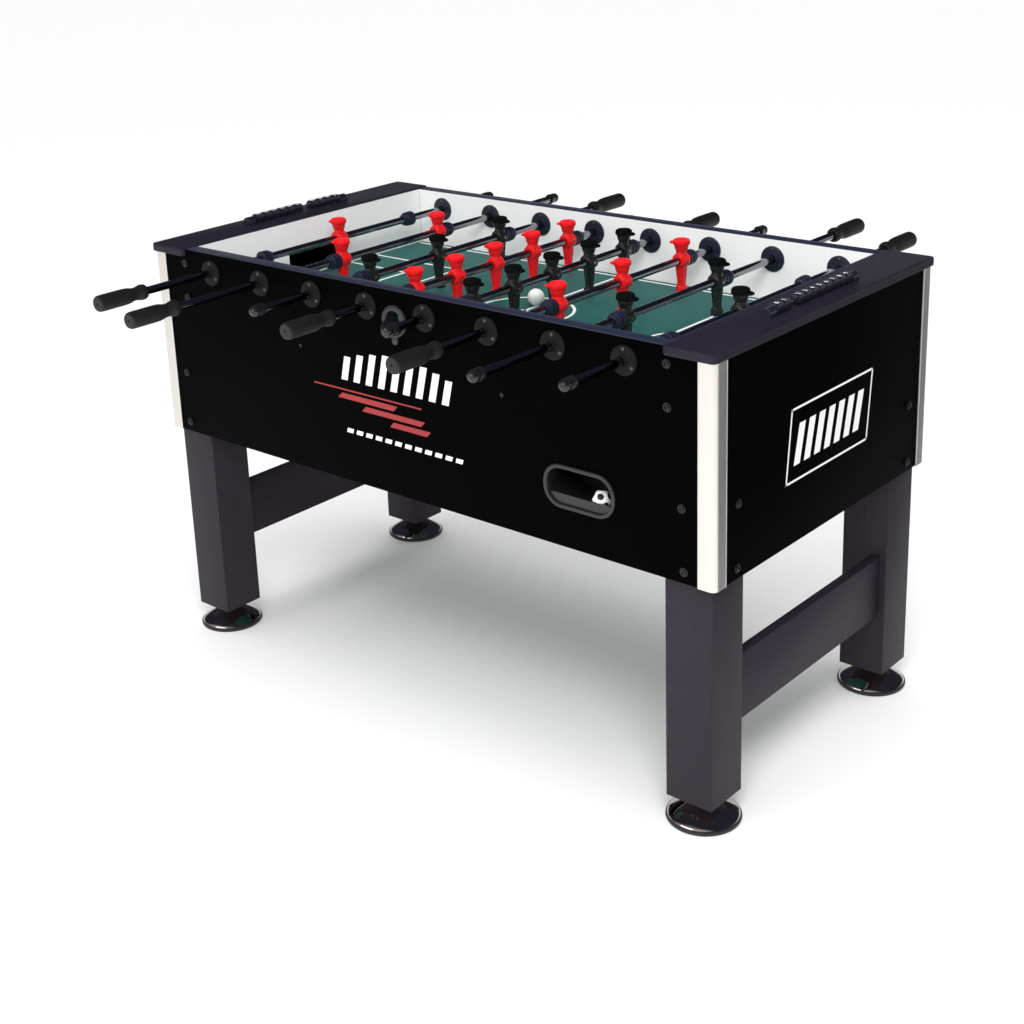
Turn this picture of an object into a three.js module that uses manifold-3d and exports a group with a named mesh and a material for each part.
// Foosball table, millimetres, +Z up, floor at z = 0, centre of the table at x = y = 0.
// X runs along the table, the serving cup and ball return are on the -Y side.
import * as THREE from 'three';
import { mergeVertices } from 'three/addons/utils/BufferGeometryUtils.js';
import Module from 'manifold-3d';

const wasm = await Module();
wasm.setup();

// ---- driving dimensions ----
const FOOT_HEIGHT = 48;
const LEG_SIZE = 95;
const LEG_TOP = 668;
const CABINET_BOTTOM = 476;
const TABLE_TOP = 888;
const BOARD_THICKNESS = 17;
const PLAYFIELD_TOP = 759;
const PLAYFIELD_THICKNESS = 13;
const ROD_HEIGHT = 846;
const ROD_SPACING = 150;
const ROD_RADIUS = 8;
const CLEARANCE = 0.3;

const INNER_HALF_LENGTH = 599;
const INNER_HALF_WIDTH = 338.7;
const APRON_INNER = 353;
const PANEL_HALF_LENGTH = 692;
const PANEL_FACE = 367;
const END_FACE = 703;
const END_INNER = 689;
const POST_LEG = 35;
const POST_THICKNESS = 2;
const POST_CORNER = 12;
const BOARD_HALF_LENGTH = 707;
const BOARD_INNER = 603.5;
const BOARD_HALF_WIDTH = 375.4;

const GOAL_HALF_WIDTH = 87;
const GOAL_HEIGHT = 55.5;
const GOAL_WALL_THICKNESS = 16;
const GOAL_FLOOR_TOP = 720;
const GOAL_FLOOR_THICKNESS = 12;

const BEARING_RADIUS = 26.5;
const BEARING_FLANGE = 4;

const MAN_HALF_WIDTH = 13.5;
const BUMPER_LENGTH = 28;
const BUMPER_RADIUS = 16;
const GOALIE_BUMPER_OFFSET = 203;
const HANDLE_LENGTH = 116;
const HANDLE_BORE = 60;
const CAP_LENGTH = 30;

const RETURN_X = 425;
const RETURN_Z = 591;
const CUP_Z = 828;
const BALL_RADIUS = 17.5;

const COUNTER_X = 660;
const BEAD_LENGTH = 23.5;
const BEAD_RADIUS = 9.2;
const WIRE_RADIUS = 2.5;

// One row per rod: team, the men's places along the rod, how far the rod is pushed along Y,
// and where its handle and its end cap sit, measured from the middle of the rod.
const spread = (count, pitch) => Array.from({ length: count }, (_, i) => (i - (count - 1) / 2) * pitch);
const SOLO = { men: spread(1, 0), handle: 592, cap: 517 };
const PAIR = { men: spread(2, 295), handle: 643, cap: 570 };
const TRIO = { men: spread(3, 200), handle: 584, cap: 517 };
const FIVE = { men: spread(5, 119), handle: 521, cap: 478 };
const RODS = [
  { team: 'red', push: -1, ...SOLO },
  { team: 'red', push: 11, ...PAIR },
  { team: 'black', push: -4, ...TRIO },
  { team: 'red', push: 7, ...FIVE },
  { team: 'black', push: 5, ...FIVE },
  { team: 'red', push: 35, ...TRIO },
  { team: 'black', push: -11, ...PAIR },
  { team: 'black', push: -16, ...SOLO },
];

// ---- materials ----
function finish(color, roughness, metalness = 0) {
  return new THREE.MeshStandardMaterial({ color, roughness, metalness });
}
const LAMINATE = finish(0x0b0b0c, 0.5);
const BOARD = finish(0x241f28, 0.45);
const FIELD = finish(0x1d4f4d, 0.5);
const CHROME = finish(0xc8c8ca, 0.15, 1);
const GRIP = finish(0x0c0c0c, 0.6);
const BLACK_MAN = finish(0x101010, 0.3);
const RED_MAN = finish(0xc80a0a, 0.3);
const BEAD = finish(0x101018, 0.35);
const BALL = finish(0xf2f2ee, 0.35);

const group = new THREE.Group();

function addMesh(name, geometry, material) {
  const mesh = new THREE.Mesh(geometry, material);
  mesh.name = name;
  group.add(mesh);
  return mesh;
}

// ---- solids ----
function toSolid(geometry) {
  const bare = geometry.clone();
  bare.deleteAttribute('normal');
  bare.deleteAttribute('uv');
  const merged = mergeVertices(bare, 1e-4);
  return new wasm.Manifold(new wasm.Mesh({
    numProp: 3,
    vertProperties: new Float32Array(merged.attributes.position.array),
    triVerts: new Uint32Array(merged.index.array),
  }));
}

function toGeometry(solid) {
  const mesh = solid.getMesh();
  const geometry = new THREE.BufferGeometry();
  geometry.setAttribute('position', new THREE.BufferAttribute(new Float32Array(mesh.vertProperties), 3));
  geometry.setIndex(new THREE.BufferAttribute(new Uint32Array(mesh.triVerts), 1));
  geometry.computeVertexNormals();
  return geometry;
}

function box(x0, x1, y0, y1, z0, z1) {
  const geometry = new THREE.BoxGeometry(x1 - x0, y1 - y0, z1 - z0);
  return toSolid(geometry.translate((x0 + x1) / 2, (y0 + y1) / 2, (z0 + z1) / 2));
}

// A cylinder along Y between y0 and y1.
function rodSolid(radius, x, y0, y1, z, segments = 12) {
  const geometry = new THREE.CylinderGeometry(radius, radius, y1 - y0, segments);
  return toSolid(geometry.translate(x, (y0 + y1) / 2, z));
}

// A turned shape along Y from [radius, y] points that start and end on the axis.
function turned(points, segments) {
  return new THREE.LatheGeometry(points.map(([r, y]) => new THREE.Vector2(r, y)), segments);
}

// The radius of a many-sided hole that leaves the given gap round a round bar.
const holeRadius = (radius, segments = 12) => (radius + CLEARANCE) / Math.cos(Math.PI / segments);

function roundedOutline(halfWidth, halfHeight, radius) {
  const shape = new THREE.Shape();
  shape.moveTo(-halfWidth + radius, -halfHeight);
  shape.lineTo(halfWidth - radius, -halfHeight);
  shape.absarc(halfWidth - radius, -halfHeight + radius, radius, -Math.PI / 2, 0, false);
  shape.lineTo(halfWidth, halfHeight - radius);
  shape.absarc(halfWidth - radius, halfHeight - radius, radius, 0, Math.PI / 2, false);
  shape.lineTo(-halfWidth + radius, halfHeight);
  shape.absarc(-halfWidth + radius, halfHeight - radius, radius, Math.PI / 2, Math.PI, false);
  shape.lineTo(-halfWidth, -halfHeight + radius);
  shape.absarc(-halfWidth + radius, -halfHeight + radius, radius, Math.PI, Math.PI * 1.5, false);
  return shape;
}

// A rounded block whose outline stands in the XZ plane and whose depth runs along Y.
function uprightBlock(halfWidth, halfHeight, radius, x, z, y0, y1, curveSegments = 5) {
  const outline = roundedOutline(halfWidth, halfHeight, radius);
  const options = { depth: y1 - y0, bevelEnabled: false, curveSegments };
  const geometry = new THREE.ExtrudeGeometry(outline, options);
  return toSolid(geometry.rotateX(Math.PI / 2).translate(x, y1, z));
}

const rodX = (index) => (index - (RODS.length - 1) / 2) * ROD_SPACING;

// ---- cabinet sides: apron, inner wall and the sixteen flanges of the eight rod bearings ----
const INNER_WALL_DROP = 28;

function bearing(x, side) {
  const outer = side * (PANEL_FACE + BEARING_FLANGE);
  const inner = side * (INNER_HALF_WIDTH - BEARING_FLANGE);
  return rodSolid(BEARING_RADIUS, x, Math.min(outer, inner), Math.max(outer, inner), ROD_HEIGHT, 16);
}

function sidePanel(side) {
  const across = (a, b) => [Math.min(side * a, side * b), Math.max(side * a, side * b)];
  const apron = across(APRON_INNER, PANEL_FACE);
  const full = across(INNER_HALF_WIDTH, PANEL_FACE);
  const underBoard = TABLE_TOP - BOARD_THICKNESS;
  const wallBottom = PLAYFIELD_TOP - INNER_WALL_DROP;
  let panel = box(-PANEL_HALF_LENGTH, PANEL_HALF_LENGTH, ...apron, CABINET_BOTTOM, underBoard);
  panel = panel.add(box(-INNER_HALF_LENGTH, INNER_HALF_LENGTH, ...full, wallBottom, underBoard));
  panel = panel.add(box(-BOARD_INNER, BOARD_INNER, ...full, underBoard - 1, TABLE_TOP - 1));
  for (let i = 0; i < RODS.length; i += 1) panel = panel.add(bearing(rodX(i), side));
  const bore = holeRadius(ROD_RADIUS);
  for (let i = 0; i < RODS.length; i += 1) {
    panel = panel.subtract(rodSolid(bore, rodX(i), full[0] - 30, full[1] + 30, ROD_HEIGHT));
  }
  return panel;
}

const RETURN_HALF_WIDTH = 78;
const RETURN_HALF_HEIGHT = 41;
const RETURN_RIM = 8;
const RETURN_CORNER = 38;
const BEZEL_HEIGHT = 4;
const TRAY_DEPTH = 80;
const TRAY_WALL = 3;
const CUP_RADIUS = 31;
const CUP_TUBE_RADIUS = 23;
const CUP_BORE_RADIUS = 20;
const CUP_FLANGE = 5;
const CUP_REACH = 28;
const CUP_LUG = 46;

const RETURN_CUT = CLEARANCE - TRAY_WALL;
const returnCut = uprightBlock(RETURN_HALF_WIDTH + RETURN_CUT, RETURN_HALF_HEIGHT + RETURN_CUT,
  RETURN_CORNER, RETURN_X, RETURN_Z, -PANEL_FACE - 1, -INNER_HALF_WIDTH);
const cupCut = rodSolid(CUP_TUBE_RADIUS + 2 * CLEARANCE, 0, -PANEL_FACE - 1, -INNER_HALF_WIDTH + 1, CUP_Z,
  20);

// The front side is made up of four lengths, so that the serving hole and the ball return sit in short ones.
const frontSide = sidePanel(-1).subtract(returnCut).subtract(cupCut);
const FRONT_LENGTHS = [
  ['front_left_side_panel', -PANEL_HALF_LENGTH, -42],
  ['front_serving_panel', -42, 42],
  ['front_middle_side_panel', 42, 300],
  ['front_return_side_panel', 300, PANEL_HALF_LENGTH],
];
for (const [name, x0, x1] of FRONT_LENGTHS) {
  const length = box(x0, x1, -PANEL_FACE - 10, -INNER_HALF_WIDTH + 10, CABINET_BOTTOM - 1, TABLE_TOP);
  addMesh(name, toGeometry(frontSide.intersect(length)), LAMINATE);
}
addMesh('rear_side_panel', toGeometry(sidePanel(1)), LAMINATE);

// Moulded ball return: a bezel standing on the apron and a tray behind it that stops the ball.
function ballReturn() {
  const face = -PANEL_FACE;
  const back = -APRON_INNER + TRAY_DEPTH;
  const [hw, hh] = [RETURN_HALF_WIDTH, RETURN_HALF_HEIGHT];
  const bezel = uprightBlock(hw, hh, RETURN_CORNER, RETURN_X, RETURN_Z, face - BEZEL_HEIGHT, face);
  const tray = uprightBlock(hw - TRAY_WALL, hh - TRAY_WALL, RETURN_CORNER, RETURN_X, RETURN_Z, face - 1,
    back);
  const pocket = uprightBlock(hw - RETURN_RIM, hh - RETURN_RIM, RETURN_CORNER - RETURN_RIM, RETURN_X,
    RETURN_Z, face - BEZEL_HEIGHT - 1, back - TRAY_WALL);
  return bezel.add(tray).subtract(pocket);
}

// Serving cup: a flange round the serving hole, a tube through the wall, a scoop and a lug for its screw.
function servingCup() {
  const face = -PANEL_FACE;
  const flange = rodSolid(CUP_RADIUS, 0, face - CUP_FLANGE, face, CUP_Z, 20);
  const tube = rodSolid(CUP_TUBE_RADIUS, 0, face - 1, -INNER_HALF_WIDTH, CUP_Z, 20);
  const lug = box(-8, 8, face - CUP_FLANGE, face, CUP_Z - CUP_LUG, CUP_Z);
  const scoop = rodSolid(CUP_BORE_RADIUS + 5, 0, face - CUP_REACH, face, CUP_Z, 20);
  const scoopTop = box(-40, 40, face - CUP_REACH - 1, face - CUP_FLANGE, CUP_Z - 4, CUP_Z + 40);
  const hole = rodSolid(CUP_BORE_RADIUS, 0, face - CUP_REACH - 1, -INNER_HALF_WIDTH + 1, CUP_Z, 20);
  return flange.add(tube).add(lug).add(scoop.subtract(scoopTop)).subtract(hole);
}

addMesh('ball_return', toGeometry(ballReturn()), GRIP);
addMesh('serving_cup', toGeometry(servingCup()), GRIP);

// ---- end boxes: end panel, goal wall with its mouth, goal floor and two corner posts ----
function cornerPost(sideY) {
  const [x1, y1] = [END_FACE + POST_THICKNESS, PANEL_FACE + POST_THICKNESS];
  const [x0, y0] = [x1 - POST_LEG, y1 - POST_LEG];
  const inset = POST_THICKNESS;
  const shape = new THREE.Shape();
  shape.moveTo(x0, y1);
  shape.lineTo(x1 - POST_CORNER, y1);
  shape.absarc(x1 - POST_CORNER, y1 - POST_CORNER, POST_CORNER, Math.PI / 2, 0, true);
  shape.lineTo(x1, y0);
  shape.lineTo(x1 - inset - 0.3, y0);
  shape.lineTo(x1 - inset - 0.3, y1 - POST_CORNER);
  shape.lineTo(x1 - POST_CORNER, y1 - inset);
  shape.lineTo(x0, y1 - inset);
  shape.closePath();
  const height = TABLE_TOP - BOARD_THICKNESS - CABINET_BOTTOM;
  const options = { depth: height, bevelEnabled: false, curveSegments: 4 };
  const geometry = new THREE.ExtrudeGeometry(shape, options);
  const post = toSolid(geometry.translate(0, 0, CABINET_BOTTOM));
  return sideY > 0 ? post : post.mirror([0, 1, 0]);
}

function endBox(side) {
  const top = TABLE_TOP - BOARD_THICKNESS;
  const width = INNER_HALF_WIDTH;
  const floorBottom = GOAL_FLOOR_TOP - GOAL_FLOOR_THICKNESS;
  const wallBack = INNER_HALF_LENGTH + GOAL_WALL_THICKNESS;
  let solid = box(END_INNER, END_FACE, -APRON_INNER, APRON_INNER, CABINET_BOTTOM, top);
  solid = solid.add(box(INNER_HALF_LENGTH, wallBack, -width, width, floorBottom, top));
  solid = solid.add(box(INNER_HALF_LENGTH + 1, END_INNER + 1, -width, width, floorBottom, GOAL_FLOOR_TOP));
  solid = solid.subtract(box(INNER_HALF_LENGTH - 1, wallBack + 1, -GOAL_HALF_WIDTH, GOAL_HALF_WIDTH,
    PLAYFIELD_TOP, PLAYFIELD_TOP + GOAL_HEIGHT));
  solid = solid.add(cornerPost(1)).add(cornerPost(-1));
  return toGeometry(side > 0 ? solid : solid.mirror([1, 0, 0]));
}

addMesh('left_end_box', endBox(-1), LAMINATE);
addMesh('right_end_box', endBox(1), LAMINATE);

// ---- playfield and top boards ----
const field = box(-INNER_HALF_LENGTH, INNER_HALF_LENGTH, -INNER_HALF_WIDTH, INNER_HALF_WIDTH,
  PLAYFIELD_TOP - PLAYFIELD_THICKNESS, PLAYFIELD_TOP);
addMesh('playfield', toGeometry(field), FIELD);

// ---- score counters: a wire between two stops with ten beads, one of them free to slide ----
const COUNTER_HALF = 150;
const STOP_LENGTH = 20;
const STOP_RADIUS = 11;
const BEAD_COUNT = 10;
const COUNTER_SIDES = 8;
const COUNTER_SLACK = 2;
const COUNTER_HEIGHT = TABLE_TOP + 9.3;

function beadRun(start, count) {
  const end = start + count * BEAD_LENGTH;
  const points = [[WIRE_RADIUS, start]];
  for (let i = 0; i < count; i += 1) {
    const y = start + i * BEAD_LENGTH;
    points.push([6, y], [BEAD_RADIUS, y + 3.5], [BEAD_RADIUS, y + BEAD_LENGTH - 3.5]);
  }
  points.push([6, end], [WIRE_RADIUS, end]);
  return points;
}

// The flats of the turned beads face up and down once the turning is rolled by half a side.
const turnedBeads = (points) => turned(points, COUNTER_SIDES).rotateY(Math.PI / COUNTER_SIDES);

function counterLayout(scored) {
  const near = -COUNTER_HALF + STOP_LENGTH;
  const far = COUNTER_HALF - STOP_LENGTH;
  const waiting = BEAD_COUNT - scored - 1;
  return { near, far, waiting, waitingStart: far - waiting * BEAD_LENGTH };
}

function counterSolid(side, scored) {
  const { near, far, waiting, waitingStart } = counterLayout(scored);
  const counter = turnedBeads([
    [0, -COUNTER_HALF], [STOP_RADIUS, -COUNTER_HALF], [STOP_RADIUS, near], [WIRE_RADIUS, near],
    ...beadRun(near + COUNTER_SLACK, scored), ...beadRun(waitingStart, waiting),
    [WIRE_RADIUS, far + 1], [STOP_RADIUS, far + 1], [STOP_RADIUS, COUNTER_HALF], [0, COUNTER_HALF],
  ]);
  return toSolid(counter.translate(side * COUNTER_X, 0, COUNTER_HEIGHT));
}

function topBoard(side, scored) {
  const halfLength = (BOARD_HALF_LENGTH - BOARD_INNER) / 2;
  const outline = roundedOutline(halfLength, BOARD_HALF_WIDTH, 10);
  const options = { depth: BOARD_THICKNESS, bevelEnabled: false, curveSegments: 3 };
  const geometry = new THREE.ExtrudeGeometry(outline, options);
  geometry.translate(side * (BOARD_INNER + halfLength), 0, TABLE_TOP - BOARD_THICKNESS);
  return toSolid(geometry).add(counterSolid(side, scored));
}

function addCountingBead(place, side, scored) {
  const bore = holeRadius(WIRE_RADIUS, COUNTER_SIDES);
  const end = BEAD_LENGTH - CLEARANCE;
  const profile = [[bore, 0], [6, 0], [BEAD_RADIUS, 3.5], [BEAD_RADIUS, end - 3.5], [6, end], [bore, end],
    [bore, 0]];
  const bead = addMesh(`${place}_counter_bead`, turnedBeads(profile), BEAD);
  bead.position.set(side * COUNTER_X, counterLayout(scored).waitingStart - BEAD_LENGTH, COUNTER_HEIGHT);
}

const LEFT_SCORE = 6;
const RIGHT_SCORE = 2;
addMesh('left_top_board', toGeometry(topBoard(-1, LEFT_SCORE)), BOARD);
addMesh('right_top_board', toGeometry(topBoard(1, RIGHT_SCORE)), BOARD);
addCountingBead('left', -1, LEFT_SCORE);
addCountingBead('right', 1, RIGHT_SCORE);

// ---- legs, stretchers and levelling feet ----
const FOOT_RADIUS = 68;
const FOOT_PROFILE = [[0, 0], [FOOT_RADIUS - 3, 0], [FOOT_RADIUS, 5], [FOOT_RADIUS - 3, 12], [48, 26],
  [24, 36], [20, FOOT_HEIGHT - CLEARANCE], [0, FOOT_HEIGHT - CLEARANCE]];
const CORNERS = [['front_left', -1, -1], ['front_right', 1, -1], ['rear_left', -1, 1], ['rear_right', 1, 1]];
const LEG_X = END_INNER - LEG_SIZE / 2;
const LEG_Y = APRON_INNER - LEG_SIZE / 2;

for (const [place, sx, sy] of CORNERS) {
  const foot = addMesh(`${place}_foot`, turned(FOOT_PROFILE, 16), CHROME);
  foot.rotation.x = Math.PI / 2;
  foot.position.set(sx * LEG_X, sy * LEG_Y, 0);
}

// One frame at each end of the table: two square legs with a board between them.
const STRETCHER_X = 666;
const STRETCHER_THICKNESS = 20;
const STRETCHER_BOTTOM = 175.5;
const STRETCHER_HEIGHT = 128;

function legFrame(side) {
  const legHalf = LEG_SIZE / 2;
  const leg = (y) => box(LEG_X - legHalf, LEG_X + legHalf, y - legHalf, y + legHalf, FOOT_HEIGHT, LEG_TOP);
  const x0 = STRETCHER_X - STRETCHER_THICKNESS / 2;
  const board = box(x0, x0 + STRETCHER_THICKNESS, -LEG_Y, LEG_Y, STRETCHER_BOTTOM,
    STRETCHER_BOTTOM + STRETCHER_HEIGHT);
  const frame = leg(-LEG_Y).add(leg(LEG_Y)).add(board);
  return toGeometry(side > 0 ? frame : frame.mirror([1, 0, 0]));
}

addMesh('left_leg_frame', legFrame(-1), BOARD);
addMesh('right_leg_frame', legFrame(1), BOARD);

// ---- rods: steel tube with two rubber bumpers and a domed end cap ----
function bumperProfile(near, far) {
  const step = BUMPER_LENGTH / 5;
  return [[ROD_RADIUS, near], [12, near], [BUMPER_RADIUS, near + step], [BUMPER_RADIUS, far - step],
    [12, far], [ROD_RADIUS, far]];
}

// Profile of one rod from its end cap to the end that sits in the handle.
function rodProfile(rod) {
  const inner = rod.men.length === 1 ? GOALIE_BUMPER_OFFSET : rod.men.at(-1) + MAN_HALF_WIDTH + 0.5;
  const outer = inner + BUMPER_LENGTH;
  const cap = -rod.cap;
  return [
    [0, cap], [6, cap + 1], [10, cap + 5], [11.5, cap + 12], [11.5, cap + CAP_LENGTH],
    [ROD_RADIUS, cap + CAP_LENGTH],
    ...bumperProfile(-outer, -inner), ...bumperProfile(inner, outer),
    [ROD_RADIUS, rod.handle - HANDLE_LENGTH / 2 + HANDLE_BORE - 1],
    [0, rod.handle - HANDLE_LENGTH / 2 + HANDLE_BORE - 1],
  ];
}

// Rubber grip: long barrel, waist, and a collar next to the rod, with a blind bore for the rod.
function handleProfile(rod) {
  const start = rod.handle - HANDLE_LENGTH / 2;
  const bore = holeRadius(ROD_RADIUS);
  const end = start + HANDLE_LENGTH;
  return [[0, start + HANDLE_BORE], [bore, start + HANDLE_BORE], [bore, start], [11, start],
    [14.5, start + 5], [14.5, start + 16], [13.3, start + 27], [16, start + 42], [16.5, end - 3],
    [14, end], [0, end]];
}

// ---- men: a boss clamped round the rod, head with cap and bill, tapering legs, kicking foot ----
const MAN_TOP = 44;
const MAN_BOTTOM = 69.5;

// Block along Z whose size changes between sections given as [z, halfX, halfY, centreX].
function taperedBlock(sections) {
  const positions = [];
  for (const [z, hx, hy, cx] of sections) {
    positions.push(cx - hx, -hy, z, cx + hx, -hy, z, cx + hx, hy, z, cx - hx, hy, z);
  }
  const index = [0, 2, 1, 0, 3, 2];
  for (let level = 0; level < sections.length - 1; level += 1) {
    for (let side = 0; side < 4; side += 1) {
      const a = level * 4 + side;
      const b = level * 4 + ((side + 1) % 4);
      index.push(a, b, b + 4, a, b + 4, a + 4);
    }
  }
  const last = (sections.length - 1) * 4;
  index.push(last, last + 1, last + 2, last, last + 2, last + 3);
  const geometry = new THREE.BufferGeometry();
  geometry.setAttribute('position', new THREE.BufferAttribute(new Float32Array(positions), 3));
  geometry.setIndex(index);
  return toSolid(geometry);
}

function manSolid() {
  const boss = rodSolid(15, 0, -MAN_HALF_WIDTH, MAN_HALF_WIDTH, 0);
  const legs = taperedBlock([[-MAN_BOTTOM, 10, 9.5, 0], [-54, 10, 9.5, 0], [-53, 7.5, 8.5, 0],
    [-14, 10, 12, 0], [0, 10, 12, 0]]);
  const headProfile = [[0, 10], [8, 10], [8, 18], [14.5, 32], [17.5, 33], [17.5, 41], [14, MAN_TOP],
    [0, MAN_TOP]];
  const headGeometry = new THREE.LatheGeometry(headProfile.map(([r, y]) => new THREE.Vector2(r, y)), 8);
  const head = toSolid(headGeometry.rotateX(Math.PI / 2));
  const bill = taperedBlock([[33.5, 8, 7, 18.5], [37, 6, 6, 18.5]]);
  const bore = rodSolid(holeRadius(ROD_RADIUS), 0, -20, 20, 0);
  return boss.add(legs).add(head).add(bill).subtract(bore);
}

const manFacing = { 1: toGeometry(manSolid()), [-1]: toGeometry(manSolid().mirror([1, 0, 0])) };

RODS.forEach((rod, index) => {
  const label = `rod_${index + 1}`;
  const handleSide = rod.team === 'red' ? -1 : 1;
  const place = (mesh) => {
    mesh.position.set(rodX(index), rod.push, ROD_HEIGHT);
    if (handleSide < 0) mesh.rotation.x = Math.PI;
    return mesh;
  };
  place(addMesh(label, turned(rodProfile(rod), 12), CHROME));
  place(addMesh(`${label}_handle`, turned(handleProfile(rod), 12), GRIP));
  rod.men.forEach((y, number) => {
    const material = rod.team === 'red' ? RED_MAN : BLACK_MAN;
    const man = addMesh(`${label}_man_${number + 1}`, manFacing[handleSide].clone(), material);
    man.position.set(rodX(index), rod.push + y, ROD_HEIGHT);
  });
});

// ---- ball on the playfield, clear of every foot's sweep ----
const ball = addMesh('ball', new THREE.SphereGeometry(BALL_RADIUS, 12, 8), BALL);
ball.position.set(-5, 48, PLAYFIELD_TOP + BALL_RADIUS);

export default group;
